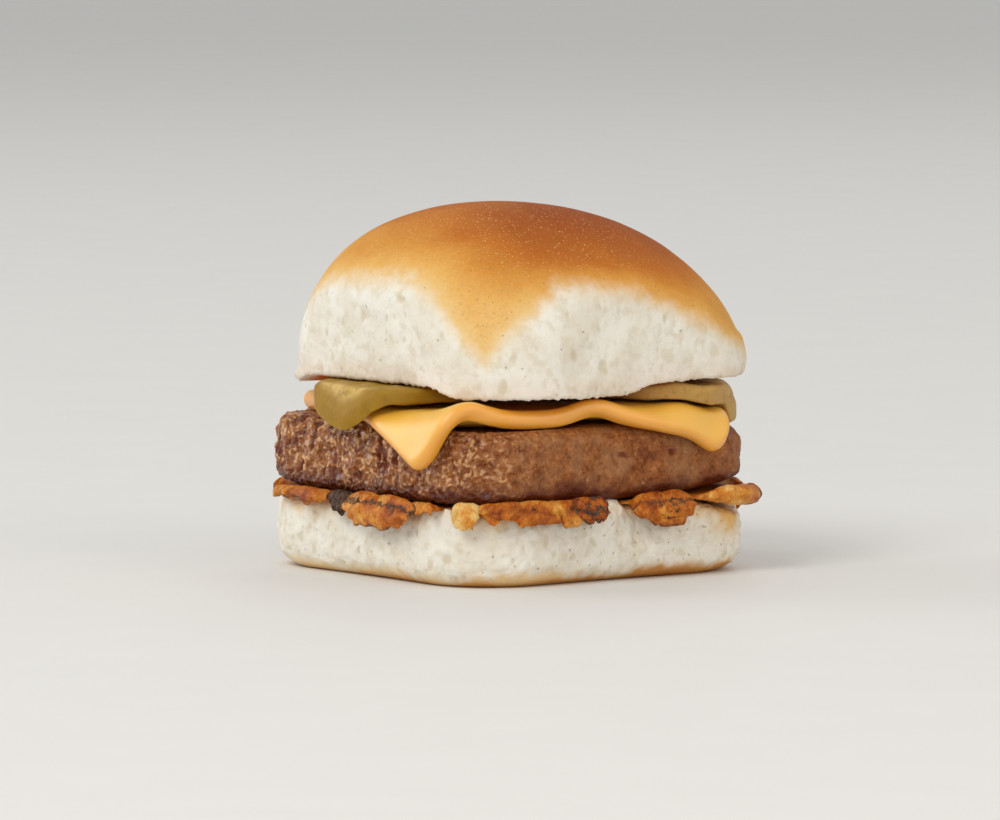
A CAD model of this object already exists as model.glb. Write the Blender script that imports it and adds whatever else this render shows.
"""The looks of a small square cheeseburger: torn and baked bread, fried onions, beef, cheese and pickles.

Every food is a closed surface worked out on a grid, in metres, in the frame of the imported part. The large
forms follow the part's own formulas, and the fine relief is added along the surface's outward direction.
"""

from math import cos, pi, radians, sin, tan

import bpy
import numpy as np
from mathutils import Matrix, Vector


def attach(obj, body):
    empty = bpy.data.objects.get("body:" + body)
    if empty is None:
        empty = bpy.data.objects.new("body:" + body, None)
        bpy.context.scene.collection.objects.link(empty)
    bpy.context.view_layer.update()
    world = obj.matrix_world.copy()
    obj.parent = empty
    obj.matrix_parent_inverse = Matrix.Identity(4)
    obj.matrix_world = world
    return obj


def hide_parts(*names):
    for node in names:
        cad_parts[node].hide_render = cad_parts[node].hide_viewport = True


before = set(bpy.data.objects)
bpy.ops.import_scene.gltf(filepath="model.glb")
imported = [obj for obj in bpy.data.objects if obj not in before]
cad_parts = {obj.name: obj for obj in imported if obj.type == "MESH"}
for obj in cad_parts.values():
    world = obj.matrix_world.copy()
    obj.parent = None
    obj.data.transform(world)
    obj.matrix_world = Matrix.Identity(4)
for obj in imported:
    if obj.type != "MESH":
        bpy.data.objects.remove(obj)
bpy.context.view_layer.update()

# Photograph's frame and camera: azimuth and elevation of the view, and where it is aimed
PHOTO_PIXELS_WIDE = 1000
PIXELS_PER_METRE = 6000
VIEW_AZIMUTH = radians(53)
VIEW_ELEVATION = radians(4.8)
VIEW_DISTANCE = 1.4
AIM_RIGHT = -0.00142
AIM_HEIGHT = 0.0261
SENSOR_WIDTH = 36.0
LIT_HEIGHT = 0.03
CAMERA_RIGHT = np.array([0.602, 0.799])
FLOOR_REACH = 4.0

# Roll
ROLL_SIDE = 0.064
ROLL_CORNER = 0.014
HEEL_HEIGHT = 0.0120
HEEL_BASE_ROUND = 0.0040
HEEL_RIM_ROUND = 0.0014
HEEL_BELLY = 0.0004
HEEL_SMOOTH_FOOT = 0.003
CRUMB_RELIEF = 0.0010
TORN_SWELL_SHARE = 0.7
TORN_GRAIN_SHARE = 0.5
TORN_FADE = (-0.001, 0.002)
CROWN_SIDE = 0.0612
CROWN_CORNER = 0.014
CROWN_CUT = 0.0305
CROWN_HEIGHT = 0.0304
CROWN_SHIFT = (0.0013, 0.0018)
CROWN_TURN = radians(1)
CROWN_FULLNESS = 2.1
CROWN_RIM_ROUND = 0.0006
CROWN_BLEND = 0.0008
CROWN_SAG = 0.0009
CROWN_SWELL = 0.0006
CROWN_TORN_SWELL = 0.0006
CROWN_TORN_GRAIN = 0.0003
CROWN_GRADING = 1.12
SHOULDER_RADIUS = 0.036
DENT_FADE = 0.009
DOME_RADIUS_SIDE = 0.0366
DOME_RADIUS_CORNER = 0.0374
DOME_LEAN = 0.0040
LEAN_DIRECTION = radians(-127)
CRUST_TOP = 0.0177
CRUST_FADE = (-0.0028, 0.0048)
TORN_CALM = 0.5

# Where on the roll its small features are, as bearings in degrees
NOTCH_BEARING = 49
RAGGED_BEARING = 53
STAIN_BEARING = 38
NUB_BEARING = -134
LEDGE_BEARING = 45

# Filling
PATTY_SIDE = 0.0622
PATTY_CORNER = 0.012
PATTY_BASE = 0.0136
PATTY_TOP = 0.0255
PATTY_ROUND = 0.0030
PATTY_FOOT_ROUND = 0.0020
PATTY_CRAG = 0.0010
PATTY_ROUGHNESS = 0.0004
GRAIN_MEAN = 0.55
CHEESE_SIDE = 0.0587
CHEESE_SHIFT = (0.0022, -0.0016)
CHEESE_THICKNESS = 0.0028
CHEESE_CORNER = 0.0027
CHEESE_EDGE_SHARE = 0.26
CHEESE_PULL_SPREAD = 0.55
CHEESE_RIPPLE = 0.0001
CHEESE_CALM = (0.012, 0.026)
CHEESE_TURN = radians(-13.6)
CHEESE_BEND = 0.0038
CHEESE_OVERHANG = 0.0021
CHEESE_HANG = radians(76)
PICKLE_RADIUS = 0.0152
PICKLE_THICKNESS = 0.0028
PICKLE_BEND = 0.0030
PICKLE_HANG = radians(64)
PICKLE_LIFT = 0.0002
PICKLE_STEEPENING = 0.4
PICKLE_SWAY = 0.025
PICKLE_SCALLOP = 0.020
PICKLE_STEP = 0.0030
PICKLE_DROP_OFF = 0.0005
PICKLE_STEEP_RANGE = 0.002
PICKLE_EDGE_SHARE = 0.4
PICKLE_SEEDS = 9
ONION_ROOT = 0.0055
ONION_ROOT_THICKNESS = 0.0007
ONION_BEND_SLACK = 0.0005
ONION_RISE = 0.0010
ONION_RISE_WIDTH = 0.0013
ONION_CURL = 0.0003
ONION_SWELLING = (-0.0004, 0.0010)
ONION_RAGGED = (0.10, 0.06)
ONION_INSET = 0.0020
ONION_LINE = 1.5
ONION_SLACK = 0.0005
NO_RING = 9.0
RING_STRETCH = (0.62, 0.62, 1.15)
RING_SPACING = 1.3
MILLIMETRES = 1000
GAP = 0.0003

# Sizes of the swells and grains that the part has too, and the height of the gentle ones
UNEVENNESS = 0.0002
HEEL_TOP_SWELLS = 0.011
PATTY_BASE_SWELLS = 0.013
PATTY_TOP_SWELLS = 0.012
CHEESE_SWELLS = 0.014
CROWN_CUT_SWELLS = 0.009
CROWN_SWELLS = 0.017
TORN_SWELLS = 0.0045
TORN_GRAINS = 0.0035
BEEF_GRAINS = 0.0042
BEEF_FLECKS = 0.0022
ONION_SWELLS = 0.004

# Where the faces rise or fall: place, height and radius of each mound
HEEL_PRESSED = (((0.030, 0.030), 0.0026, 0.009), ((-0.030, -0.030), 0.0010, 0.009))
PATTY_PROPPED = (((0.030, 0.030), 0.0020, 0.012), ((-0.030, -0.030), 0.0011, 0.010))
PATTY_FALLEN = (((0.031, 0.031), 0.0022, 0.014),)
CROWN_SETTLED = (((-0.026, 0.026), 0.0010, 0.022),)
CHEESE_WAVES = (
    ((0.031, -0.0055), 0.0015, 0.0047),
    ((0.028, -0.0298), 0.0024, 0.0063),
    ((0.032, 0.0120), 0.0008, 0.0040),
    ((0.026, -0.0114), -0.0001, 0.0090),
    ((-0.010, 0.031), 0.0007, 0.0065),
    ((-0.031, 0.012), 0.0006, 0.0065),
)

# How far each corner of the cheese slice is pulled out or drawn in, as a share of its way from the middle
CHEESE_CORNERS = (((1, -1), 0.066), ((1, 1), 0.0), ((-1, -1), -0.090), ((-1, 1), 0.04))

# Crumbs that stand up on the heel's rim: bearing in degrees, and half-width
RIM_CRUMBS = ((-3.5, 0.0014), (0.5, 0.0008), (23.3, 0.0012))

# Each pointed lobe of crust: direction in degrees, height of its tip above the cut, and its half-width
CRUST_LOBES = ((-47, 0.0064, 25.2), (45, 0.0024, 54.0), (133, 0.0060, 34.0), (-136, 0.0086, 28.0))

# Each pickle slice: centre, direction that it hangs out in, how far out it starts to bend down, its slope,
# where its seeds lie, as a turn of the ring that they form, and how pale it is
PICKLES = {
    "pickle_left": ((0.0003, -0.0224), radians(-94), 0.0086, 0.03, 0.35, 0.0),
    "pickle_right": ((0.0178, 0.0174), radians(40), 0.0085, 0.20, 0.10, 0.6),
}

# Each onion piece: direction in degrees, width along the wall, how far it sticks out, how far it hangs down
# the wall, thickness, how brown it is, and how charred
ONIONS = (
    (-113, 0.0165, 0.0000, -0.0008, 0.0020, 0.48, 0.42),
    (-94, 0.0078, 0.0002, 0.0004, 0.0014, 0.95, 1.00),
    (-76, 0.0175, 0.0003, 0.0022, 0.0022, 0.46, 0.60),
    (-47, 0.0055, 0.0001, 0.0018, 0.0012, 0.16, 0.00),
    (-36, 0.0110, 0.0001, 0.0000, 0.0016, 0.46, 0.12),
    (-27, 0.0140, 0.0002, 0.0016, 0.0018, 0.46, 0.36),
    (-15, 0.0092, 0.0003, 0.0006, 0.0020, 0.76, 0.70),
    (11, 0.0134, 0.0004, 0.0018, 0.0022, 0.50, 0.45),
    (37, 0.0180, 0.0018, -0.0018, 0.0028, 0.38, 0.20),
    (66, 0.0130, 0.0003, 0.0018, 0.0020, 0.55, 0.35),
    (88, 0.0090, 0.0002, 0.0006, 0.0018, 0.72, 0.65),
    (112, 0.0170, 0.0004, 0.0024, 0.0022, 0.44, 0.45),
    (137, 0.0100, 0.0002, 0.0008, 0.0018, 0.30, 0.10),
    (158, 0.0140, 0.0003, 0.0020, 0.0020, 0.55, 0.50),
    (181, 0.0080, 0.0001, 0.0004, 0.0016, 0.85, 0.90),
    (205, 0.0160, 0.0004, 0.0024, 0.0022, 0.48, 0.40),
)

# Small thin scraps between the pieces, in the same terms
ONION_SCRAPS = (
    (-104, 0.0050, 0.0000, -0.0004, 0.0010, 0.45, 0.20),
    (-87, 0.0040, 0.0001, 0.0002, 0.0010, 0.55, 0.50),
    (-59, 0.0070, 0.0002, -0.0002, 0.0010, 0.42, 0.00),
    (-41, 0.0052, 0.0002, 0.0006, 0.0009, 0.45, 0.10),
    (-31, 0.0021, 0.0004, 0.0002, 0.0016, 1.00, 1.20),
)

# Burnt places on the onions, with their radius, and the middles of the curled rings
ONION_BURNS = (
    ((0.0308, 0.0290, 0.0124), 0.0016),
    ((-0.0350, 0.0060, 0.0120), 0.0013),
)
ONION_RINGS = ((0.0352, 0.0076, 0.0119), (-0.0128, 0.0352, 0.0112))


def lattice_values(cell, seed):
    """A repeatable number from -1 to 1 for each whole-numbered lattice point."""
    mixed = cell @ np.array([73856093, 19349663, 83492791]) + seed * 2654435761
    mixed = (mixed ^ (mixed >> 13)) * 1274126177
    mixed = (mixed ^ (mixed >> 16)) & 0xFFFFFF
    return mixed / 0x7FFFFF - 1


def noise(points, size, seed):
    """Smooth noise from -1 to 1: random lattice values, blended by a quintic fade between lattice points."""
    cell = np.floor(points / size).astype(np.int64)
    part = points / size - cell
    fade = part**3 * (part * (part * 6 - 15) + 10)
    total = np.zeros(points.shape[:-1])
    for corner in np.ndindex(2, 2, 2):
        weight = np.where(np.array(corner) == 1, fade, 1 - fade).prod(axis=-1)
        total += weight * lattice_values(cell + np.array(corner), seed)
    return total


def cloudy(points, size, seed, layers=3):
    """Layers of smooth noise, each half the size and half the height of the one before."""
    total = np.zeros(points.shape[:-1])
    for layer in range(layers):
        total += 0.5**layer * noise(points, size / 2**layer, seed + layer)
    return total


def lattice_middles(points, size, seed):
    """For each of the 27 lattice cells round a point: its number, and how far its scattered middle is, in
    cell sizes."""
    cell = np.floor(points / size).astype(np.int64)
    for step in np.ndindex(3, 3, 3):
        corner = cell + np.array(step) - 1
        middle = np.stack([lattice_values(corner, seed + axis) for axis in range(3)], axis=-1) * 0.5 + 0.5
        yield corner, np.sqrt(((corner + middle - points / size) ** 2).sum(axis=-1))


def lumps(points, size, seed):
    """Packed rounded grains of one size: 1 at a grain's middle, falling to about 0 in the creases."""
    nearest = np.full(points.shape[:-1], 4.0)
    for _, away in lattice_middles(points, size, seed):
        nearest = np.minimum(nearest, away)
    return 1 - nearest


def pores(points, size, reach, seed, share):
    """Round cells scattered through a food, one to a lattice cell, of which a share is open. 1 at a cell's
    middle, 0 at its wall. Their radii run from half to all of the reach, given in lattice sizes."""
    deepest = np.zeros(points.shape[:-1])
    for corner, away in lattice_middles(points, size, seed):
        radius = reach * (0.75 + 0.25 * lattice_values(corner, seed + 3))
        is_open = lattice_values(corner, seed + 4) < 2 * share - 1
        deepest = np.maximum(deepest, is_open * np.clip(1 - (away / radius) ** 2, 0, 1))
    return deepest


def level_noise(x, y, size, seed):
    """Smooth noise over a face seen from above."""
    return noise(joined(x, y, 0 * x), size, seed)


def polar(reach, angle):
    """The level coordinates of places at a reach from the middle, in each direction."""
    return reach * np.cos(angle), reach * np.sin(angle)


def swung(x, y, turn):
    """Level coordinates turned about the origin."""
    return x * cos(turn) - y * sin(turn), x * sin(turn) + y * cos(turn)


def rightward(points):
    """How far to the camera's right each point is."""
    return points[..., :2] @ CAMERA_RIGHT


def push(points, angle, amount):
    """Moves points level and outwards, each in its own direction."""
    points[..., :2] += joined(*polar(amount, angle))


def ease(low, high, value):
    """0 below low, 1 above high, and a smooth rise between."""
    part = np.clip((value - low) / (high - low), 0, 1)
    return part * part * (3 - 2 * part)


def soft_least(a, b, blend):
    """The lesser of two lengths, rounded where they cross."""
    return -blend * np.logaddexp(-a / blend, -b / blend)


def mound(x, y, centre, radius):
    """A smooth mound of height 1 about a centre, gone at about twice the radius."""
    return np.exp(-((x - centre[0]) ** 2 + (y - centre[1]) ** 2) / radius**2)


def mounds(x, y, places):
    """The sum of several mounds, each with its place, height and radius."""
    return sum(height * mound(x, y, centre, radius) for centre, height, radius in places)


def bell(value, middle, width):
    """A smooth bump of height 1 at a middle value, gone at about twice the width."""
    return np.exp(-(((value - middle) / width) ** 2))


def turn_from(angle, direction):
    """Angle measured from a direction, from -pi to pi."""
    return (angle - direction + pi) % (2 * pi) - pi


def along_wall(angle, bearing, radius=ROLL_SIDE / 2):
    """How far along a wall each direction is from a bearing in degrees."""
    return turn_from(angle, radians(bearing)) * radius


def signed_power(value, power):
    """A power of the number's size, with the number's own sign."""
    return np.sign(value) * np.abs(value) ** power


def joined(*parts):
    """One array of points or directions from their coordinates."""
    return np.stack(parts, axis=-1)


def bent_down(length, crease, radius, steepest):
    """A length laid level as far as a crease, then round an arc until it is at its steepest, then straight:
    how far out and how far down it comes, and its slope."""
    beyond = np.maximum(length - crease, 0)
    bend = np.minimum(beyond / radius, steepest)
    straight = beyond - bend * radius
    out = np.minimum(length, crease) + radius * np.sin(bend) + straight * np.cos(bend)
    return out, radius * (1 - np.cos(bend)) + straight * np.sin(bend), bend


def square_radius(angle, side, corner):
    """Distance from the middle of a square with round corners to its outline, in each direction."""
    size = np.abs(np.stack(polar(1, angle)))
    along, across = size.max(axis=0), size.min(axis=0)
    middle = side / 2 - corner
    on_arc = np.sqrt(np.maximum(corner**2 - middle**2 * (1 - 2 * along * across), 0))
    on_flat = side / 2 * across <= middle * along
    return np.where(on_flat, side / 2 / along, middle * (along + across) + on_arc)


def roll_edge(angle):
    """Distance from the middle to the roll's outline."""
    return square_radius(angle, ROLL_SIDE, ROLL_CORNER)


def patty_edge(angle):
    """Distance from the middle to the patty's outline."""
    return square_radius(angle, PATTY_SIDE, PATTY_CORNER)


def edge_inset(depth, radius):
    """How far a rounded edge of a radius draws in, at a depth below the face that it leads to."""
    within = np.clip(1 - depth / radius, 0, 1)
    return radius * (1 - np.sqrt(1 - within**2))


def stages(station, *limits):
    """Splits a station from 0 to 1 into its stage number and its share of that stage."""
    edges = np.array([0.0, *limits, 1.0])
    stage = np.clip(np.searchsorted(edges, station, side="right") - 1, 0, len(edges) - 2)
    return stage, (station - edges[stage]) / (edges[stage + 1] - edges[stage])


def ball_lines(columns, rows):
    """Direction and station of each point of a closed grid: directions run round an axis, and stations from
    0 at the first pole to 1 at the last."""
    angle = np.linspace(0, 2 * pi, columns, endpoint=False)
    return np.meshgrid(angle, np.linspace(0, 1, rows + 1))


def outward(grid):
    """Unit direction out of a closed grid at each point: the cross product of its two grid lines."""
    around = np.roll(grid, -1, axis=1) - np.roll(grid, 1, axis=1)
    onward = np.gradient(grid, axis=0)
    out = np.cross(around, onward)
    return out / np.maximum(np.linalg.norm(out, axis=-1, keepdims=True), 1e-12)


def raised(grid, relief):
    """The grid with each point moved outwards by its relief."""
    return grid + outward(grid) * relief[..., None]


def ball_faces(columns, rows):
    """Corner numbers of a closed grid's quads and of the triangles at its poles, and how many corners each
    face has. Point 0 is the first pole, the last point the other pole, and the rows between lie in order."""
    body = 1 + np.arange((rows - 1) * columns).reshape(rows - 1, columns)
    onward = np.roll(body, -1, axis=1)
    quads = joined(body[:-1], onward[:-1], onward[1:], body[1:])
    low = joined(0 * body[0], onward[0], body[0])
    high = joined(0 * body[0] + body.size + 1, body[-1], onward[-1])
    corners = np.concatenate([quads.ravel(), low.ravel(), high.ravel()])
    return corners, np.repeat((4, 3), (quads.size // 4, 2 * columns))


def ball_points(values):
    """A grid's values as a list: its first row as one point, the rows between, and its last row as one."""
    body = values[1:-1].reshape(-1, *values.shape[2:])
    return np.concatenate([values[:1, 0], body, values[-1:, 0]])


def add_piece(name, surfaces, made_of, node):
    """One object in place of a node, from closed grids. Each surface is its grid of points and a dictionary of
    grids of numbers, which become the mesh's attributes."""
    points = [ball_points(grid) for grid, _ in surfaces]
    faces = [ball_faces(grid.shape[1], grid.shape[0] - 1) for grid, _ in surfaces]
    bases = np.cumsum([0, *map(len, points[:-1])])
    corners = np.concatenate([part + base for (part, _), base in zip(faces, bases)])
    counts = np.concatenate([part for _, part in faces])
    points = np.concatenate(points)
    mesh = bpy.data.meshes.new(name)
    mesh.vertices.add(len(points))
    mesh.vertices.foreach_set("co", points.astype(np.float32).ravel())
    mesh.loops.add(len(corners))
    mesh.loops.foreach_set("vertex_index", corners.astype(np.int32))
    mesh.polygons.add(len(counts))
    mesh.polygons.foreach_set("loop_start", (np.cumsum(counts) - counts).astype(np.int32))
    mesh.update(calc_edges=True)
    for key in surfaces[0][1]:
        values = np.concatenate([ball_points(numbers[key]) for _, numbers in surfaces])
        layer = mesh.attributes.new(key, "FLOAT", "POINT")
        layer.data.foreach_set("value", values.astype(np.float32))
    mesh.shade_smooth()
    mesh.materials.append(made_of)
    piece = bpy.data.objects.new(name, mesh)
    bpy.context.scene.collection.objects.link(piece)
    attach(piece, "root")
    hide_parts(node)


# Shapes of the roll

def onion_cover(angle):
    """1 where an onion piece hangs over the heel's rim, 0 between the pieces."""
    cover = 0 * angle
    for bearing, width, *_ in ONIONS:
        direction = radians(bearing)
        half = width / 2 / roll_edge(direction)
        away = np.abs(turn_from(angle, direction))
        cover = np.maximum(cover, 1 - ease(half * 0.85, half * 1.15, away))
    return cover


def crumb_relief(points):
    """Torn bread: faint swells, many shallow irregular dents of two sizes, drawn out upwards, and a fine
    tooth. Returns the relief and how deep in a dent each point is."""
    bent = np.stack([noise(points, 0.0018, 91 + axis) for axis in range(3)], axis=-1)
    drawn = (points + 0.0006 * bent) * np.array([1, 1, 0.75])
    wide = pores(drawn, 0.0027, 0.42, 71, 0.42)
    small = pores(drawn, 0.0017, 0.38, 81, 0.4)
    relief = 0.00007 * cloudy(points, 0.0042, 101) - 0.00018 * wide - 0.00013 * small
    relief += 0.00004 * noise(points, 0.0009, 105)
    return relief, np.clip(wide + 0.8 * small, 0, 1)


def heel_top(x, y):
    """Height of the heel's upper face: a little uneven, and pressed down by the onions at two corners."""
    return HEEL_HEIGHT + UNEVENNESS * level_noise(x, y, HEEL_TOP_SWELLS, 3) - mounds(x, y, HEEL_PRESSED)


def heel_surface():
    """Flat base, rounded crusty lower edge, torn wall with a ragged rim, and uneven upper face."""
    angle, station = ball_lines(900, 104)
    stage, share = stages(station, 0.06, 0.72)
    outline = roll_edge(angle) - CRUMB_RELIEF
    rim = heel_top(*polar(outline, angle))
    height = np.where(stage == 1, (1 - np.cos(share * pi)) / 2 * rim, 0.0)
    swell = HEEL_BELLY * (np.sin(np.clip(height / HEEL_HEIGHT, 0, 1) * pi) - 1)
    wall = outline + swell - edge_inset(rim - height, HEEL_RIM_ROUND) - edge_inset(height, HEEL_BASE_ROUND)
    base_reach = share * (outline - HEEL_BELLY - HEEL_BASE_ROUND)
    top_reach = (1 - share) ** 0.75 * (outline - HEEL_RIM_ROUND)
    reach = np.choose(stage, [base_reach, wall, top_reach])
    x, y = polar(reach, angle)
    z = np.choose(stage, [0 * x, height, heel_top(x, y)])
    points = joined(x, y, z)
    torn = TORN_SWELL_SHARE * noise(points, TORN_SWELLS, 11) + TORN_GRAIN_SHARE * lumps(points, TORN_GRAINS, 12)
    torn *= TORN_CALM * CRUMB_RELIEF * ease(0.0, HEEL_SMOOTH_FOOT, z)
    torn -= 0.001 * mound(along_wall(angle, NOTCH_BEARING), z, (0, 0.0048), 0.0013)
    push(points, angle, torn * (stage == 1))

    relief, pore = crumb_relief(points)
    streaks = noise(points * np.array([1, 1, 0.25]), 0.0014, 115)
    crust_top = 0.001 - 0.0006 * cloudy(points, 0.007, 111) - 0.0005 * streaks
    crust = np.choose(stage, [1.0, 1 - ease(-0.0016, 0.0026, z - crust_top), 0.0])
    relief += 0.00015 * cloudy(points, 0.0013, 127) + 0.00014 * lumps(points, 0.001, 129)
    relief += 0.0004 * bell(turn_from(angle, radians(RAGGED_BEARING)), 0, 0.35) * cloudy(points, 0.0014, 137)
    points = raised(points, relief * (1 - 0.85 * crust) * ease(0.0, 0.0015, z))

    cover = onion_cover(angle)
    up_wall = ease(HEEL_HEIGHT - 0.003, HEEL_HEIGHT - 0.0006, height)
    at_rim = np.choose(stage, [0.0, up_wall, ease(outline[0] - 0.005, outline[0] - 0.0012, reach)])
    teeth = 0.00028 * cloudy(points, 0.0013, 117) + 0.00035 * lumps(points, 0.0009, 119)
    ragged = (1 - cover) * (0.0007 + teeth)
    shift = 0.001 * cloudy(points, 0.0013, 133)
    for bearing, width in RIM_CRUMBS:
        ragged += 0.0007 * bell(along_wall(angle, bearing) + shift, 0, width)
    points[..., 2] += at_rim * ragged

    stain = mound(along_wall(angle, STAIN_BEARING), z, (0, HEEL_HEIGHT - 0.0012), 0.0036)
    stain *= 1 + 0.4 * noise(points, 0.0015, 123)
    beside = ease(HEEL_HEIGHT - 0.003, HEEL_HEIGHT + 0.0004, z + 0.001 * noise(points, 0.002, 121))
    soaked = np.clip(1.3 * stain + (0.2 + 0.45 * cover) * beside, 0, 1)
    soaked = np.where(stage == 2, 0.6, soaked)
    brown = 0.1 + 0.2 * cloudy(points, 0.01, 125) + 0.35 * (1 - ease(0.0, 0.0016, z))
    brown = np.clip(brown + 0.45 * ease(-0.02, 0.03, rightward(points)), 0, 1)
    return points, {"crust": crust, "pore": pore, "brown": brown, "soaked": soaked, "blister": 0 * brown}


def crown_under(x, y):
    """Height of the crown's cut face: level at its rim, sagging between, settled at the back, and dented over
    the pickles."""
    sag = CROWN_SAG * (1 - ease(CROWN_SIDE / 4, CROWN_SIDE / 2, np.hypot(x, y))) + mounds(x, y, CROWN_SETTLED)
    level = CROWN_CUT + 1.5 * UNEVENNESS * level_noise(x, y, CROWN_CUT_SWELLS, 41) - sag
    top = PATTY_TOP + CHEESE_THICKNESS + PICKLE_THICKNESS + PICKLE_LIFT + 4 * GAP
    for (px, py), *_ in PICKLES.values():
        over = 1 - ease(PICKLE_RADIUS, PICKLE_RADIUS + DENT_FADE, np.hypot(x - px, y - py))
        level = level + np.maximum(top - level, 0) * over
    return level


def dome_radius(angle, rise):
    """The baked dome, nearly round in plan and full at the shoulder, at a height above the cut."""
    cornered = np.sin(2 * angle) ** 2
    widest = DOME_RADIUS_SIDE + (DOME_RADIUS_CORNER - DOME_RADIUS_SIDE) * cornered
    share = np.clip(rise / CROWN_HEIGHT, 0, 1)
    return widest * (1 - share**CROWN_FULLNESS) ** (1 / CROWN_FULLNESS)


def crust_limit(angle):
    """Height above the cut at which the crust ends: high on the flat sides, where the roll was torn from its
    neighbours, and low in a pointed lobe at each corner."""
    limit = CRUST_TOP + 0 * angle
    for bearing, tip, half_width in CRUST_LOBES:
        away = np.abs(turn_from(angle, radians(bearing)))
        lobe = np.clip(1 - away / radians(half_width), 0, 1) ** 1.5
        limit = np.minimum(limit, CRUST_TOP - (CRUST_TOP - tip) * lobe)
    return limit


def crown_surface():
    """Cut face below, then torn walls where the roll met its neighbours, then the baked dome. The share of
    crust rises slowly from the crumb, and the bake deepens upwards and to the right."""
    angle, station = ball_lines(900, 108)
    stage, share = stages(station, 0.1)
    outer = stage == 1
    outline = square_radius(angle, CROWN_SIDE, CROWN_CORNER)
    turn = share**CROWN_GRADING * pi / 2
    rise = np.where(outer, CROWN_HEIGHT * np.sin(turn) ** (2 / CROWN_FULLNESS), 0.0)
    wall = soft_least(dome_radius(angle, rise), outline, CROWN_BLEND) - edge_inset(rise, CROWN_RIM_ROUND)
    rim = soft_least(dome_radius(angle, 0 * rise), outline, CROWN_BLEND) - CROWN_RIM_ROUND
    reach = np.where(outer, wall, share**0.7 * rim) * (station < 1)
    height = rise / CROWN_HEIGHT
    turned = angle + CROWN_TURN
    middle = joined(*polar(DOME_LEAN * height**1.5, LEAN_DIRECTION)) + CROWN_SHIFT
    x, y = np.moveaxis(middle + joined(*polar(reach, turned)), -1, 0)
    low = crown_under(x, y)
    points = joined(x, y, low + height * (CROWN_CUT + CROWN_HEIGHT - low))
    grains = CROWN_TORN_GRAIN * lumps(points, TORN_GRAINS, 44)
    torn = TORN_CALM * ease(*TORN_FADE, dome_radius(angle, rise) - outline)
    torn *= CROWN_TORN_SWELL * noise(points, TORN_SWELLS, 43) + grains
    swell = CROWN_SWELL * noise(points, CROWN_SWELLS, 45)
    nub = 0.0009 * bell(along_wall(angle, NUB_BEARING, SHOULDER_RADIUS), 0, 0.003) * bell(rise, 0.0011, 0.001)
    ledge = 0.0006 * bell(along_wall(angle, LEDGE_BEARING, SHOULDER_RADIUS), 0, 0.007)
    ledge *= (1 - ease(0.0066, 0.0082, rise)) * ease(0.0, 0.003, rise)
    push(points, turned, (torn + swell + nub + ledge) * outer)

    fuzz = 0.0007 * cloudy(points, 0.009, 131) + 0.0004 * cloudy(points, 0.0022, 135)
    above = rise - crust_limit(angle) + fuzz
    crust = np.clip((above - CRUST_FADE[0]) / (CRUST_FADE[1] - CRUST_FADE[0]), 0, 1) * outer
    crumby = 1 - ease(0.05, 0.7, crust)
    relief, pore = crumb_relief(points)
    wrinkles = 0.00005 * cloudy(points, 0.006, 141, 2) + 0.00002 * lumps(points, 0.0016, 143)
    relief = relief * np.where(outer, 1, 0.5) * crumby + wrinkles * (1 - crumby)
    points = raised(points, relief * ease(0.0, 0.25, 1 - station) * ease(0.0, 0.03, station))
    at_cut = np.where(outer, 1 - ease(0.0001, 0.0009, rise), ease(0.9, 1.0, share))
    ragged = 0.00018 * cloudy(points, 0.0024, 145) - 0.0003
    ragged += 0.00035 * lumps(points, 0.001, 147) + 0.00035 * lumps(points, 0.00055, 149)
    points[..., 2] -= at_cut * ragged

    sideways = rightward(points)
    brown = 0.22 + 0.6 * ease(0.45, 1.12, height + 0.04 * noise(points, 0.016, 151))
    brown += 0.32 * ease(-0.014, 0.018, sideways) * ease(0.25, 0.75, height)
    brown += 0.14 * ease(0.014, 0.03, sideways) + 0.05 * cloudy(points, 0.01, 153)
    blister = bell(sideways, 0, 0.02) * ease(0.15, 0.45, height) * (0.8 + 0.5 * noise(points, 0.011, 155))
    over_cheese = 1 - ease(-0.001, 0.003, beyond_cheese(x, y))
    soaked = np.where(outer, 0.1 * (1 - ease(0.0005, 0.005, rise)), over_cheese)
    numbers = {"crust": crust, "pore": pore * crumby, "brown": np.clip(brown, 0, 1)}
    return points, numbers | {"soaked": soaked, "blister": blister}


# Shapes of the filling

def patty_base(x, y):
    """Height of the patty's underside, propped up by onions at two corners."""
    return PATTY_BASE + UNEVENNESS * level_noise(x, y, PATTY_BASE_SWELLS, 5) + mounds(x, y, PATTY_PROPPED)


def patty_top(x, y):
    """Height of the patty's upper face, which falls away towards the right-hand corner."""
    return PATTY_TOP + UNEVENNESS * level_noise(x, y, PATTY_TOP_SWELLS, 7) - mounds(x, y, PATTY_FALLEN)


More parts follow.
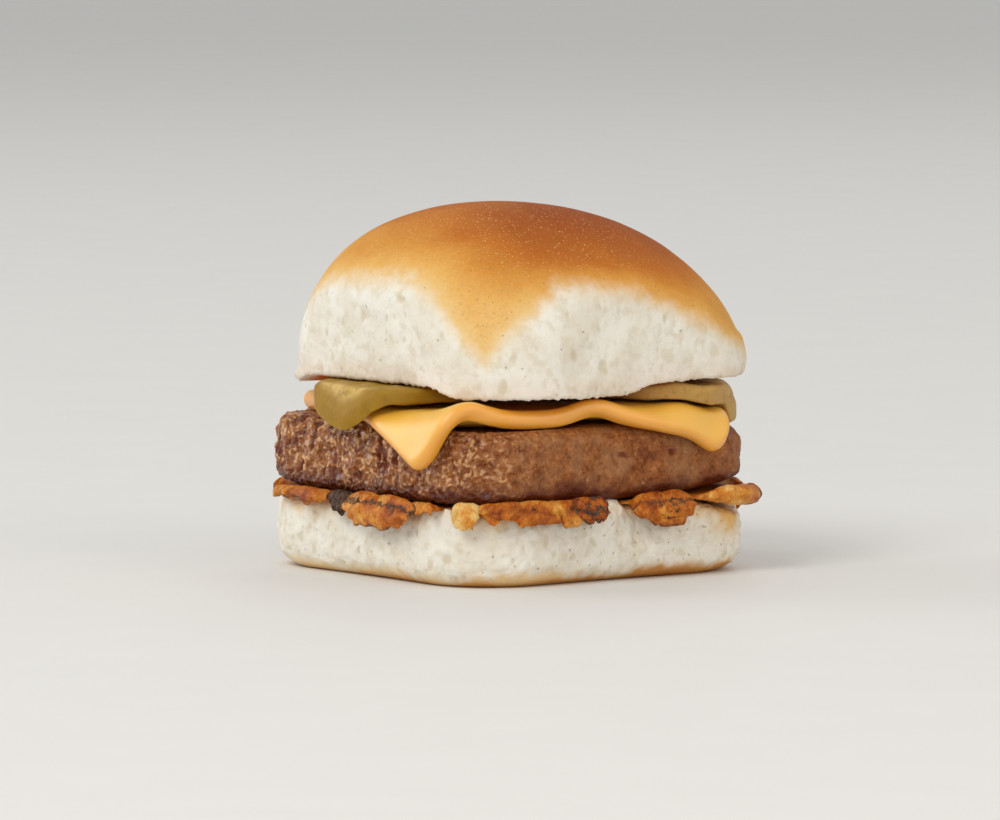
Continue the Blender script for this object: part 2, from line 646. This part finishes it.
def patty_surface():
    """Underside, craggy browned wall of packed grains, and upper face. Clumps, grains and upright furrows are
    deep on the left and worn nearly smooth on the right."""
    angle, station = ball_lines(860, 112)
    stage, share = stages(station, 0.12, 0.82)
    wall = stage == 1
    outline = patty_edge(angle)
    edge = polar(outline, angle)
    low, high = patty_base(*edge), patty_top(*edge)
    height = np.where(wall, low + (1 - np.cos(share * pi)) / 2 * (high - low), low)
    drawn_in = edge_inset(height - low, PATTY_FOOT_ROUND) + edge_inset(high - height, PATTY_ROUND)
    under, over = share * (outline - PATTY_FOOT_ROUND), (1 - share) * (outline - PATTY_ROUND)
    x, y = polar(np.choose(stage, [under, outline - drawn_in, over]), angle)
    z = np.choose(stage, [patty_base(x, y), height, patty_top(x, y)])
    points = joined(x, y, z)
    leftness = ease(0.01, -0.012, rightward(points))
    upright = np.clip((z - low) / (high - low), 0, 1)
    crag = PATTY_CRAG * (lumps(points, BEEF_GRAINS, 21) - GRAIN_MEAN)
    crag += PATTY_ROUGHNESS * noise(points, BEEF_FLECKS, 22)
    push(points, angle, crag * wall * np.sin(upright * pi) ** 0.5)

    bent = np.stack([cloudy(points, 0.0015, 161 + 3 * axis, 2) for axis in range(3)], axis=-1)
    warped = points + 0.0008 * bent
    clumps = lumps(warped, 0.0026, 165)
    grains = lumps(warped, 0.001, 169)
    crumbs = lumps(points + 0.0003 * bent, 0.0007, 171) - GRAIN_MEAN
    shreds = 1 - np.abs(noise(points + 0.0004 * bent, 0.0009, 187))
    furrows = ease(0.3, 0.8, noise(warped * np.array([1, 1, 0.5]), 0.0021, 173))
    chips = ease(0.45, 0.8, noise(points * np.array([1, 1, 1.5]), 0.0026, 175))
    relief = 0.0003 * (clumps - GRAIN_MEAN) + 0.0002 * (grains - GRAIN_MEAN) + 0.00018 * crumbs
    relief += 0.00026 * (shreds - 0.7) - 0.0006 * furrows
    relief = (0.2 + 0.8 * leftness) * relief + 0.00006 * crumbs - 0.00014 * chips
    crest = leftness * ease(0.72, 0.95, upright) * wall
    relief += crest * (0.0009 * lumps(points, 0.0019, 177) - 0.0004)
    points = raised(points, relief * np.where(wall, 1.0, 0.35))
    shade = ease(0.5, 0.15, grains) * (0.25 + 0.45 * leftness) + ease(0.45, 0.1, clumps) * 0.4 * leftness
    hollow = np.clip(shade + furrows * (0.35 + 0.65 * leftness) + 0.35 * chips, 0, 1)
    juice = (1 - ease(0.05, 0.34, upright + 0.09 * cloudy(points, 0.003, 179))) * wall + (stage == 0)
    return points, {"hollow": hollow, "grain": (grains + shreds) / 2, "juice": juice, "left": leftness}


def cheese_pull(across, along):
    """How far out a point of the slice is pulled, as a factor. The slice's sides are at -1 and 1."""
    return 1 + sum(pull * mound(across, along, corner, CHEESE_PULL_SPREAD) for corner, pull in CHEESE_CORNERS)


def beyond_cheese(x, y):
    """How far outside the flat slice's nearest side a point lies; negative inside it."""
    half = CHEESE_SIDE / 2
    u, v = swung(x - CHEESE_SHIFT[0], y - CHEESE_SHIFT[1], -CHEESE_TURN)
    away = np.maximum(np.abs(u), np.abs(v))
    furthest = np.maximum(away, half)
    return away - half * cheese_pull(u / furthest, v / furthest)


def cheese_crease(angle):
    """How far out the cheese starts to bend down, in each direction, and the patty's edge under it."""
    edge = patty_edge(angle)
    return edge + CHEESE_OVERHANG - CHEESE_BEND, edge


def draped(x, y):
    """A point of the flat cheese slice, laid on the patty and bent down over its edge: level as far as the
    crease, then round an arc, then straight down its hang."""
    angle = np.arctan2(y, x)
    spread = np.hypot(x, y)
    crease, edge = cheese_crease(angle)
    reach, drop, _ = bent_down(spread, crease, CHEESE_BEND, CHEESE_HANG)
    px, py = polar(reach, angle)
    bed = patty_top(*polar(np.minimum(reach, edge), angle))
    ripple = CHEESE_RIPPLE * (1 + level_noise(px, py, CHEESE_SWELLS, 31)) + mounds(px, py, CHEESE_WAVES)
    z = bed + GAP + CHEESE_THICKNESS / 2 + ripple * ease(*CHEESE_CALM, spread) - drop
    return joined(px, py, z)


def cheese_surface():
    """A square slice with blunt corners, turned on the patty. Its middle surface is draped, and its two faces
    lie half a thickness off it along its upright direction, joined by a round melted edge. It is a little
    fuller just inside that edge, where it has melted and drawn back."""
    angle, station = ball_lines(720, 72)
    outline = square_radius(angle, CHEESE_SIDE, CHEESE_CORNER)
    side = np.abs(station - 0.5) * 2
    round_edge = np.clip(side / CHEESE_EDGE_SHARE, 0, 1) * pi / 2
    rim_draw = CHEESE_THICKNESS / 2 * (1 - np.cos(round_edge))
    onward = np.clip((side - CHEESE_EDGE_SHARE) / (1 - CHEESE_EDGE_SHARE), 0, 1)
    reach = (outline - rim_draw) * (1 - onward**1.25)
    u, v = polar(reach, angle)
    pulled = cheese_pull(u / (CHEESE_SIDE / 2), v / (CHEESE_SIDE / 2))
    x, y = swung(u * pulled, v * pulled, CHEESE_TURN)
    x, y = x + CHEESE_SHIFT[0], y + CHEESE_SHIFT[1]
    middle = draped(x, y)
    step = 0.00002
    normal = np.cross(draped(x + step, y) - middle, draped(x, y + step) - middle)
    normal /= np.maximum(np.linalg.norm(normal, axis=-1, keepdims=True), 1e-15)
    inward = outline - reach
    bead = 1 + 0.1 * bell(inward, 0.0016, 0.0012) - 0.1 * bell(inward, 0.0052, 0.0026)
    half_thick = np.sign(station - 0.5) * np.sin(round_edge) * CHEESE_THICKNESS / 2 * bead
    points = middle + normal * half_thick[..., None]
    return raised(points, 0.00005 * cloudy(points, 0.006, 181, 2)), {"rim": 1 - ease(0.0, 0.0026, inward)}


def cheese_upper(x, y, clear):
    """Height, over each point of the ground, of a surface that stays clear of the cheese's outer face by a
    distance, round its bend and down its hanging edge."""
    angle = np.arctan2(y, x)
    crease, _ = cheese_crease(angle)
    level = draped(*polar(np.minimum(np.hypot(x, y), crease), angle))[..., 2]
    outer = CHEESE_BEND + CHEESE_THICKNESS / 2 + clear
    beyond = np.maximum(np.hypot(x, y) - crease, 0)
    on_bend = np.minimum(beyond, outer * sin(CHEESE_HANG))
    drop = outer - np.sqrt(outer**2 - on_bend**2) + (beyond - on_bend) * tan(CHEESE_HANG)
    return level + CHEESE_THICKNESS / 2 + clear - drop


def pickle_bed(x, y):
    """Height of what a pickle slice lies on: the cheese's outer face, and past the slice's side, the patty."""
    on_cheese = cheese_upper(x, y, 1.5 * GAP)
    edge = patty_edge(np.arctan2(y, x))
    over_edge = PATTY_TOP * ease(0.0, PICKLE_DROP_OFF, np.hypot(x, y) - edge - PATTY_CRAG)
    on_patty = patty_top(x, y) + 2 * GAP - over_edge
    past = ease(0.5 * GAP, PICKLE_STEP, beyond_cheese(x, y))
    return np.maximum(on_cheese * (1 - past) + on_patty * past, on_patty)


def pickle_surface(centre, outward_angle, crease, slope, seed_turn, pale):
    """A round slice with a wavy rim. It lies on the cheese, and its outer part bends down over the edge. Seeds
    stand a little proud in a ring."""
    angle, station = ball_lines(300, 56)
    from_rim = np.abs(station - 0.5) * 2
    radius = PICKLE_RADIUS * (1 + PICKLE_SWAY * np.sin(3 * angle + 1) + PICKLE_SCALLOP * np.sin(8 * angle))
    along = 1 - from_rim**2
    level = np.sign(station - 0.5) * np.sqrt(1 - np.clip(1 - from_rim / PICKLE_EDGE_SHARE, 0, 1) ** 2)
    out, side = polar(radius * along, angle)
    run, drop, _ = bent_down(out, crease, PICKLE_BEND, PICKLE_HANG)
    drop += slope * np.maximum(out, 0)
    x, y = swung(run, side, outward_angle)
    x, y = x + centre[0], y + centre[1]
    bed = cheese_upper(*np.array(centre)[:, None], GAP)[0] + PICKLE_LIFT
    underside = np.maximum(bed - drop, pickle_bed(x, y))
    tall = PICKLE_THICKNESS * (1 + PICKLE_STEEPENING * ease(0, PICKLE_STEEP_RANGE, bed - underside))
    points = joined(x, y, underside + tall / 2 * (1 + level))

    seed = 0 * out
    for number in range(PICKLE_SEEDS):
        far, wide = swung(out, side, -(number + seed_turn) * 2 * pi / PICKLE_SEEDS)
        far = far - PICKLE_RADIUS * (0.58 + 0.07 * sin(number * 2.4))
        seed = np.maximum(seed, ease(1.0, 0.55, np.hypot(far / 0.0015, wide / 0.0009)))
    rim = ease(0.8, 0.95, along)
    warts = 0.00003 * rim * np.sin(26 * angle + 2 * np.sin(3 * angle))
    folds = 0.00012 * cloudy(points, 0.004, 185, 2) - 0.00005 * (1 - rim) * noise(points, 0.0014, 187)
    points = raised(points, warts + folds + 0.0001 * seed)
    core = ease(0.7, 0.5, along)
    rim = np.maximum(rim, 0.8 * (1 - ease(0.0008, 0.0026, out - crease)))
    return points, {"rim": rim, "seed": seed, "core": core, "pale": 0 * core + pale}


def onion_surface(index, bearing, width, overhang, hang, thickness, brown, char):
    """A limp strip of onion: its root lies under the patty, and its outer part folds down outside the heel.
    It thins to a ragged outline, and a groove crosses it. Fold is how far below the bend a point lies, in
    millimetres, edge is 1 at the outline, and ring is the distance from a curled ring's middle."""
    angle, station = ball_lines(110, 40)
    direction = radians(bearing)
    turn = (station - 0.5) * pi
    place = joined(*polar(1, angle), 0 * angle + 7 * index)
    coarse, fine = ONION_RAGGED
    ragged = 1 + coarse * np.sin(3 * angle + index) + fine * np.sin(5 * angle + 2 * index)
    ragged += 0.14 * noise(place, 0.3, 201) + 0.12 * noise(place, 0.12, 203)
    pillow = np.cos(turn) ** 0.6
    across = pillow * signed_power(np.sin(angle), 0.7) * (0.96 + 0.14 * noise(place, 0.2, 205))
    onward = pillow * signed_power(np.cos(angle), 0.7)
    onward = np.where(onward > 0, onward * ragged, onward)
    bend_radius = thickness / 2 + ONION_BEND_SLACK
    outside = ONION_ROOT + overhang
    travelled = (onward + 1) / 2 * (outside + bend_radius * pi / 2 + hang)
    out, down, bend = bent_down(travelled, outside, bend_radius, pi / 2)
    fat = ease(*ONION_SWELLING, travelled - ONION_ROOT)
    half_thick = (ONION_ROOT_THICKNESS * (1 - fat) + thickness * fat) / 2 * np.sin(turn)
    facing = direction + across * width / 2 / roll_edge(direction)
    wall = roll_edge(facing)
    reach = wall - ONION_ROOT + out + GAP * fat + half_thick * np.sin(bend)
    rim = polar(wall - CRUMB_RELIEF, facing)
    middle = (heel_top(*rim) + patty_base(*rim)) / 2
    points = joined(*polar(reach, facing), middle - down + half_thick * np.cos(bend))
    heaped = bell(travelled, outside, ONION_RISE_WIDTH) * np.maximum(np.sin(turn), 0)
    points[..., 2] += ONION_RISE * heaped + ONION_CURL * noise(points, ONION_SWELLS, 60 + index) * fat

    fold = (travelled - outside) * MILLIMETRES
    fold += 0.5 * noise(points, 0.003, 213) + 0.2 * noise(points, 0.0012, 214)
    groove = bell(fold, ONION_LINE, 0.28)
    ring = np.full(angle.shape, NO_RING)
    for ring_middle in ONION_RINGS:
        drawn = (points - np.array(ring_middle)) * np.array(RING_STRETCH) * MILLIMETRES
        ring = np.minimum(ring, np.linalg.norm(drawn, axis=-1))
    curl = 0.00028 * np.sin(ring * 2 * pi / RING_SPACING + 0.8) * ease(2.6, 2.0, ring)
    relief = 0.00022 * cloudy(points, 0.0024, 209) - 0.0003 * groove
    relief += 0.00016 * (lumps(points, 0.0017, 211) - GRAIN_MEAN) + curl
    points = raised(points, relief * fat)
    burnt = 0 * angle
    for burn, radius in ONION_BURNS:
        burnt = np.maximum(burnt, ease(1.0, 0.6, np.linalg.norm(points - np.array(burn), axis=-1) / radius))
    edge = np.maximum(onward / np.maximum(ragged, 0.5), np.abs(across))
    tone = np.clip(brown + 0.24 * cloudy(points, 0.0026, 217) + 0.12 * groove, 0, 1)
    numbers = {"brown": tone, "char": 0 * tone + char, "fold": fold}
    return points, numbers | {"edge": edge, "burnt": burnt, "ring": ring}


def onion_layer():
    """The thin bed of onions hidden between heel and patty."""
    angle, station = ball_lines(160, 12)
    turn = (station - 0.5) * pi
    outline = roll_edge(angle) - ONION_INSET
    x, y = polar(outline * np.cos(turn) ** 0.4, angle)
    low, high = heel_top(x, y) + ONION_SLACK, patty_base(x, y) - ONION_SLACK
    upward = 0.5 + 0.5 * signed_power(np.sin(turn), 0.5)
    points = joined(x, y, low + (high - low) * upward)
    tone = np.clip(0.75 + 0.2 * cloudy(points, 0.004, 219), 0, 1)
    none = dict.fromkeys(("char", "fold", "edge", "burnt"), 0 * tone)
    return points, {"brown": tone, "ring": 0 * tone + NO_RING} | none


# Finishes

def tint(red, green, blue):
    """A colour given as it looks on a screen, from 0 to 255, as light values."""
    shown = np.array([red, green, blue]) / 255
    light = np.where(shown <= 0.04045, shown / 12.92, ((shown + 0.055) / 1.055) ** 2.4)
    return (*light.tolist(), 1.0)


class Value:
    """A number or colour in a material. +, - and * on numbers add Math nodes."""

    def __init__(self, finish, output):
        self.finish = finish
        self.output = output

    def __add__(self, other):
        return self.finish.maths("ADD", self, other)

    def __sub__(self, other):
        return self.finish.maths("SUBTRACT", self, other)

    def __rsub__(self, other):
        return self.finish.maths("SUBTRACT", other, self)

    def __mul__(self, other):
        return self.finish.maths("MULTIPLY", self, other)

    __radd__ = __add__
    __rmul__ = __mul__


class Finish:
    """A material being made. Sizes in it are in metres, on the piece's own coordinates. The share sunk of the
    light goes in, and spreads by the reach times the spread in red, green and blue."""

    def __init__(self, name, specular=0.5, sunk=0.0, spread=(1, 1, 1), reach=0.01, **constants):
        self.material = bpy.data.materials.new(name)
        self.material.use_nodes = True
        self.tree = self.material.node_tree
        self.shader = self.tree.nodes["Principled BSDF"]
        constants |= {"Specular_IOR_Level": specular, "Subsurface_Weight": sunk}
        constants |= {"Subsurface_Radius": spread, "Subsurface_Scale": reach}
        for socket, value in constants.items():
            self.shader.inputs[socket.replace("_", " ")].default_value = value
        self.place = self.add("TexCoord", {}, "Object")

    def add(self, kind, inputs, output=0, **settings):
        """A node with its settings made first, then its inputs, each a number, colour or Value. A ramp's stops
        are each a position and a tint's three numbers."""
        node = self.tree.nodes.new("ShaderNode" + kind)
        for name, setting in settings.items():
            if name == "stops":
                self.set_stops(node.color_ramp, setting)
            else:
                setattr(node, name, setting)
        for socket, value in inputs.items():
            self.feed(node.inputs[socket], value)
        return Value(self, node.outputs[output])

    def feed(self, socket, value):
        if isinstance(value, Value):
            self.tree.links.new(value.output, socket)
        else:
            socket.default_value = value

    def set_stops(self, ramp, stops):
        for _ in stops[2:]:
            ramp.elements.new(1.0)
        for element, (position, *shown) in zip(ramp.elements, stops):
            element.position = position
            element.color = tint(*shown)

    def maths(self, operation, *numbers):
        return self.add("Math", dict(enumerate(numbers)), operation=operation)

    def share(self, name):
        """One of the piece's own attributes, a number at each point."""
        return self.add("Attribute", {}, "Fac", attribute_name=name)

    def noise(self, size, detail=2.0, roughness=0.5):
        """Cloudy noise from 0 to 1, with patches of about the size."""
        inputs = {"Vector": self.place, "Scale": 1 / size, "Detail": detail, "Roughness": roughness}
        return self.add("TexNoise", inputs)

    def cells(self, size):
        """Distance to the nearest of many scattered points, in sizes. The places are shifted a little by
        noise first, so that no dot is quite round."""
        drift = {"Vector": self.place, "Scale": 2.2 / size, "Detail": 1.0}
        drift = self.add("TexNoise", drift, "Color")
        drift = self.add("VectorMath", {0: drift, 1: (0.5, 0.5, 0.5)}, operation="SUBTRACT")
        place = {0: drift, 1: (size / 2, size / 2, size / 2), 2: self.place}
        place = self.add("VectorMath", place, operation="MULTIPLY_ADD")
        return self.add("TexVoronoi", {"Vector": place, "Scale": 1 / size}, "Distance")

    def specks(self, size, reach, share):
        """Scattered round dots, 1 in a dot and 0 outside: about the size apart, as wide as the reach, given
        in sizes, and a share of them kept."""
        distance = self.cells(size)
        chance = Value(self, distance.output.node.outputs["Color"])
        chance = self.add("SeparateColor", {"Color": chance})
        return self.ease(distance, reach, reach * 0.45) * self.ease(chance, share + 0.01, share)

    def ease(self, value, low, high):
        """0 below low, 1 above high, with a smooth rise between. High may be the lesser."""
        inputs = {"Value": value, "From Min": low, "From Max": high}
        return self.add("MapRange", inputs, interpolation_type="SMOOTHSTEP")

    def near(self, value, middle, wide, narrow):
        """1 within the narrow distance of a middle value, 0 outside the wide one."""
        return self.ease(self.maths("ABSOLUTE", value - middle), wide, narrow)

    def laid(self, colour, *coats):
        """The colour with tints laid over it in turn. Each coat is its share, then its tint's three numbers."""
        for share, *shown in coats:
            colour = self.blend(share, colour, tint(*shown))
        return colour

    def blend(self, share, first, second):
        """The first colour, giving way to the second as the share goes from 0 to 1."""
        return self.add("Mix", {0: share, 6: first, 7: second}, 2, data_type="RGBA")

    def ramp(self, value, *stops):
        return self.add("ValToRGB", {"Fac": value}, stops=stops)

    def finish(self, colour, roughness, height, depth, coat=None):
        """Feeds the shader. The surface is bent as if it rose by the depth where height is 1."""
        normal = self.add("Bump", {"Height": height, "Distance": depth, "Strength": 1.0})
        self.feed(self.shader.inputs["Base Color"], colour)
        self.feed(self.shader.inputs["Roughness"], roughness)
        self.feed(self.shader.inputs["Normal"], normal)
        if coat is not None:
            self.feed(self.shader.inputs["Coat Weight"], coat)
        return self.material


def bread(name, crust_stops, soaked_tint, pitted):
    """Torn crumb and baked crust in one finish. The crumb has many faint beige blotches, is greyer in its
    dents and has small sharp pits, as many as the share pitted says. The crust goes from pale gold at its
    fading edge to a brown that follows the bake, with pale and dark specks."""
    made = Finish(name, 0.05, 0.15, (1.0, 0.8, 0.55), 0.0008)
    crust, pore, brown, soaked = (made.share(key) for key in ("crust", "pore", "brown", "soaked"))
    blistered = made.share("blister") * made.ease(crust, 0.5, 1.0)
    broad = made.noise(0.006, 3.0, 0.55)
    mottle = made.noise(0.0022, 4.0, 0.6)
    fine = made.noise(0.0006, 3.0, 0.65)
    pits = made.specks(0.0017, 0.14, pitted) + made.specks(0.0034, 0.08, 0.45)
    crumb = made.laid(
        tint(232, 229, 219),
        (made.ease(broad, 0.35, 0.65), 224, 218, 203),
        (made.ease(mottle, 0.47, 0.66) * 0.65, 213, 204, 184),
        (made.ease(pore, 0.05, 0.85) * 0.55, 200, 186, 158),
        (pits * 0.6, 160, 138, 106),
        (made.maths("MINIMUM", soaked * (mottle + 0.55), 1.0), *soaked_tint),
    )
    pale = (made.specks(0.0006, 0.3, 0.55) + made.specks(0.001, 0.22, 0.6)) * blistered
    baked = made.laid(
        made.ramp(brown * (crust * 0.6 + 0.4) + (broad - 0.5) * 0.12 + (fine - 0.5) * 0.2, *crust_stops),
        (pale * 0.75, 246, 204, 134),
        (made.specks(0.0009, 0.22, 0.4) * blistered * 0.45, 132, 66, 24),
    )
    edge = made.ease(crust + (mottle - 0.5) * 0.35, 0.0, 0.72)
    roughness = edge * -0.3 + 0.9 + (mottle - 0.5) * 0.12
    grit = made.noise(0.0012, 4.0, 0.6) * (1 - edge) * 0.6
    height = grit + edge * (pale * 0.4 + made.noise(0.0012, 3.0, 0.6) * 0.3) - pits * 0.4
    return made.finish(made.blend(edge, crumb, baked), roughness, height, 0.0003)


def beef():
    """Browned ground beef: tan and grey-brown grains, red-brown hollows, glints on the fine grains of the
    left side, cloudy grey-brown patches on the right, and a wet dark lower edge."""
    made = Finish("beef", 0.22, 0.08, (1.0, 0.35, 0.2), 0.0006, Coat_Roughness=0.22)
    hollow, grain, juice, left = (made.share(key) for key in ("hollow", "grain", "juice", "left"))
    broad = made.noise(0.0055, 3.0, 0.6)
    mottle = made.noise(0.0018, 4.0, 0.65)
    fine = made.noise(0.0006, 3.0, 0.7)
    tone = mottle * 0.36 + fine * 0.42 + broad * 0.22
    meat = made.laid(
        made.ramp(tone, (0.36, 96, 44, 16), (0.47, 138, 79, 38), (0.57, 168, 108, 58), (0.7, 198, 146, 92)),
        (made.ease(broad, 0.46, 0.66) * (1 - left) * 0.5, 150, 110, 76),
        (left * made.ease(grain, 0.58, 0.82) * 0.68, 238, 190, 138),
        (made.ease(hollow + (fine - 0.5) * 0.6, 0.25, 0.9) * 0.9, 98, 36, 10),
        (made.maths("MINIMUM", juice * (mottle + 0.5), 1.0) * 0.95, 82, 24, 2),
        (made.specks(0.0019, 0.2, 0.2) * 0.35, 214, 168, 112),
    )
    roughness = made.ease(fine, 0.35, 0.65) * 0.25 + 0.42 - juice * 0.1
    height = made.noise(0.0009, 4.0, 0.7) + made.cells(0.0006) * (left * 0.7 + 0.15)
    coat = made.ease(made.noise(0.0009, 2.0), 0.46, 0.6) * (left * 0.8 + 0.04) + juice * 0.05
    return made.finish(meat, roughness, height, 0.00036, coat)


def melted_cheese():
    """Smooth processed cheese: golden yellow with a broad satin shine, deeper where it is thin at the rim."""
    made = Finish("cheese", 0.9, 0.3, (1.0, 0.55, 0.12), 0.0014, Coat_Weight=0.45, Coat_Roughness=0.33)
    colour = made.laid(
        tint(240, 186, 68),
        (made.ease(made.noise(0.009), 0.3, 0.7), 235, 177, 56),
        (made.share("rim") * 0.6, 230, 148, 30),
    )
    roughness = made.noise(0.003, 3.0) * 0.1 + 0.38
    return made.finish(colour, roughness, made.noise(0.002, 3.0), 0.00003)


def pickle():
    """Pickled cucumber: greyish yellow-green flesh with darker wet patches, pale pinkish seeds, and a golden
    olive skin at the rim."""
    made = Finish("pickle", 0.12, 0.55, (1.0, 0.8, 0.3), 0.002)
    mottle = made.noise(0.0026, 4.0, 0.65)
    flesh = made.laid(
        tint(182, 148, 62),
        (made.ease(mottle, 0.3, 0.7), 204, 172, 102),
        (made.ease(made.noise(0.008), 0.42, 0.62) * 0.5, 206, 172, 118),
        (made.ease(mottle, 0.48, 0.36) * 0.6, 126, 102, 30),
        (made.share("core") * made.ease(mottle, 0.3, 0.62) * 0.4, 150, 122, 42),
        (made.share("seed") * 0.75, 222, 184, 156),
        (made.share("rim") * 0.9, 146, 109, 18),
        (made.share("pale"), 196, 158, 100),
        (made.ease(made.noise(0.0022, 4.0, 0.7), 0.5, 0.64) * 0.45, 132, 106, 40),
    )
    return made.finish(flesh, made.noise(0.0012) * 0.25 + 0.42, made.noise(0.0014, 3.0, 0.5), 0.00012, 0.03)


def fried_onion():
    """Fried onion: translucent gold to orange brown and a little greasy. Charred pieces have a black line
    along their groove and their outline, and a curled ring has two dark rings, broken here and there."""
    made = Finish("fried_onion", 0.2, 0.2, (1.0, 0.45, 0.15), 0.0008)
    brown, char, fold, edge = (made.share(key) for key in ("brown", "char", "fold", "edge"))
    burnt, ring = made.share("burnt"), made.share("ring")
    mottle = made.noise(0.0014, 4.0, 0.65)
    fine = made.noise(0.0005, 3.0, 0.6)
    wobble = made.noise(0.0011, 3.0, 0.6) - 0.5
    fried = made.ramp(
        brown + (mottle - 0.5) * 0.95 + (fine - 0.5) * 0.5,
        (0.0, 226, 188, 116),
        (0.25, 210, 144, 56),
        (0.5, 184, 102, 24),
        (0.75, 142, 64, 10),
        (1.0, 84, 32, 6),
    )
    lines = made.near(fold + wobble * 1.6, ONION_LINE, 0.26, 0.08) + made.ease(edge + wobble * 0.3, 0.88, 0.98)
    patch = made.ease(mottle + char * 0.75, 1.04, 1.18)
    rings = made.near(ring + wobble * 1.9, 1.85, 0.28, 0.08) + made.near(ring + wobble * 2.4, 0.55, 0.34, 0.08)
    rings = rings * made.ease(made.noise(0.0026), 0.46, 0.54)
    black = lines * made.ease(char, 0.3, 0.55) * made.ease(fine + wobble, 0.2, 0.45)
    black = made.maths("MINIMUM", black + patch + rings + burnt * 1.2, 1.0)
    ash = made.laid(tint(44, 28, 16), (made.ease(fine, 0.4, 0.62), 92, 76, 62))
    roughness = black * 0.25 + made.noise(0.0008) * 0.25 + 0.32
    height = made.noise(0.0008, 3.0, 0.65) - black * 0.25
    return made.finish(made.blend(black * 0.9, fried, ash), roughness, height, 0.00032, 0.03)


def pale_ground():
    """Matt pale board with the faintest mottling."""
    made = Finish("pale_ground")
    colour = made.laid(tint(226, 225, 222), (made.noise(0.02), 230, 229, 226))
    return made.finish(colour, made.noise(0.004) * 0.1 + 0.6, made.noise(0.0012), 0.00002)


# Floor, light and camera

def add_floor():
    mesh = bpy.data.meshes.new("floor")
    corners = [(FLOOR_REACH * x, FLOOR_REACH * y, 0) for x, y in ((-1, -1), (1, -1), (1, 1), (-1, 1))]
    mesh.from_pydata(corners, [], [(0, 1, 2, 3)])
    mesh.materials.append(pale_ground())
    floor = bpy.data.objects.new("floor", mesh)
    bpy.context.scene.collection.objects.link(floor)


def view_axes():
    """The camera's right, up and backward directions."""
    right = Vector((cos(VIEW_AZIMUTH), sin(VIEW_AZIMUTH), 0))
    level_back = Vector((sin(VIEW_AZIMUTH), -cos(VIEW_AZIMUTH), 0))
    back = level_back * cos(VIEW_ELEVATION) + Vector((0, 0, sin(VIEW_ELEVATION)))
    return right, back.cross(right), back


def put(name, data, place, direction):
    """A light or camera at a place, with its -Z along a direction."""
    held = bpy.data.objects.new(name, data)
    held.matrix_world = Matrix.Translation(place) @ direction.to_track_quat("-Z", "Y").to_matrix().to_4x4()
    bpy.context.scene.collection.objects.link(held)
    return held


def add_soft_light(name, to_right, upwards, backwards, size, power, colour):
    """A square panel placed from the burger along the camera's own directions, and turned to it."""
    right, up, back = view_axes()
    middle = Vector((0, 0, LIT_HEIGHT))
    place = middle + right * to_right + up * upwards + back * backwards
    light = bpy.data.lights.new(name, "AREA")
    light.shape = "SQUARE"
    light.size = size
    light.energy = power
    light.color = colour
    put(name, light, place, middle - place)


def add_lights():
    add_soft_light("key", -0.75, 1.0, 1.15, 0.7, 11.0, (1.0, 0.985, 0.96))
    add_soft_light("fill", 1.2, 0.6, 0.9, 1.0, 4.4, (1.0, 0.87, 0.7))
    add_soft_light("front", 0.0, 0.06, 1.3, 0.5, 1.7, (1.0, 0.93, 0.84))
    add_soft_light("side", -1.3, 0.5, -0.45, 0.8, 4.9, (1.0, 0.98, 0.95))
    add_soft_light("rear", 0.3, 1.2, -1.1, 0.9, 2.0, (1.0, 0.98, 0.95))
    world = bpy.data.worlds.new("studio")
    world.use_nodes = True
    backdrop = world.node_tree.nodes["Background"]
    backdrop.inputs["Color"].default_value = (0.9, 0.9, 0.895, 1.0)
    backdrop.inputs["Strength"].default_value = 0.62
    bpy.context.scene.world = world
    bpy.context.scene.view_settings.view_transform = "Standard"


def add_camera():
    right, up, back = view_axes()
    camera = bpy.data.cameras.new("camera")
    camera.sensor_width = SENSOR_WIDTH
    camera.lens = PIXELS_PER_METRE * VIEW_DISTANCE * SENSOR_WIDTH / PHOTO_PIXELS_WIDE
    camera.clip_start = 0.1
    camera.clip_end = 20
    target = right * AIM_RIGHT + Vector((0, 0, AIM_HEIGHT))
    bpy.context.scene.camera = put("camera", camera, target + back * VIEW_DISTANCE, -back)


def add_burger():
    crumb_stops = ((0.0, 234, 208, 160), (0.4, 202, 148, 84), (1.0, 186, 118, 52))
    crust_stops = (
        (0.0, 232, 211, 170),
        (0.14, 228, 194, 132),
        (0.3, 222, 172, 96),
        (0.5, 208, 145, 66),
        (0.7, 186, 110, 42),
        (1.0, 148, 69, 19),
    )
    crumb = bread("heel_bread", crumb_stops, (222, 180, 114), 0.46)
    crust = bread("crown_bread", crust_stops, (206, 122, 56), 0.26)
    add_piece("heel_bread", [heel_surface()], crumb, "heel")
    add_piece("crown_bread", [crown_surface()], crust, "crown")
    add_piece("beef_patty", [patty_surface()], beef(), "patty")
    add_piece("cheese_slice", [cheese_surface()], melted_cheese(), "cheese")
    brined = pickle()
    for node, placing in PICKLES.items():
        add_piece(f"{node}_slice", [pickle_surface(*placing)], brined, node)
    strips = [onion_surface(index, *strip) for index, strip in enumerate(ONIONS + ONION_SCRAPS)]
    add_piece("onion_strips", [onion_layer(), *strips], fried_onion(), "onions")


add_burger()
add_floor()
add_lights()
add_camera()
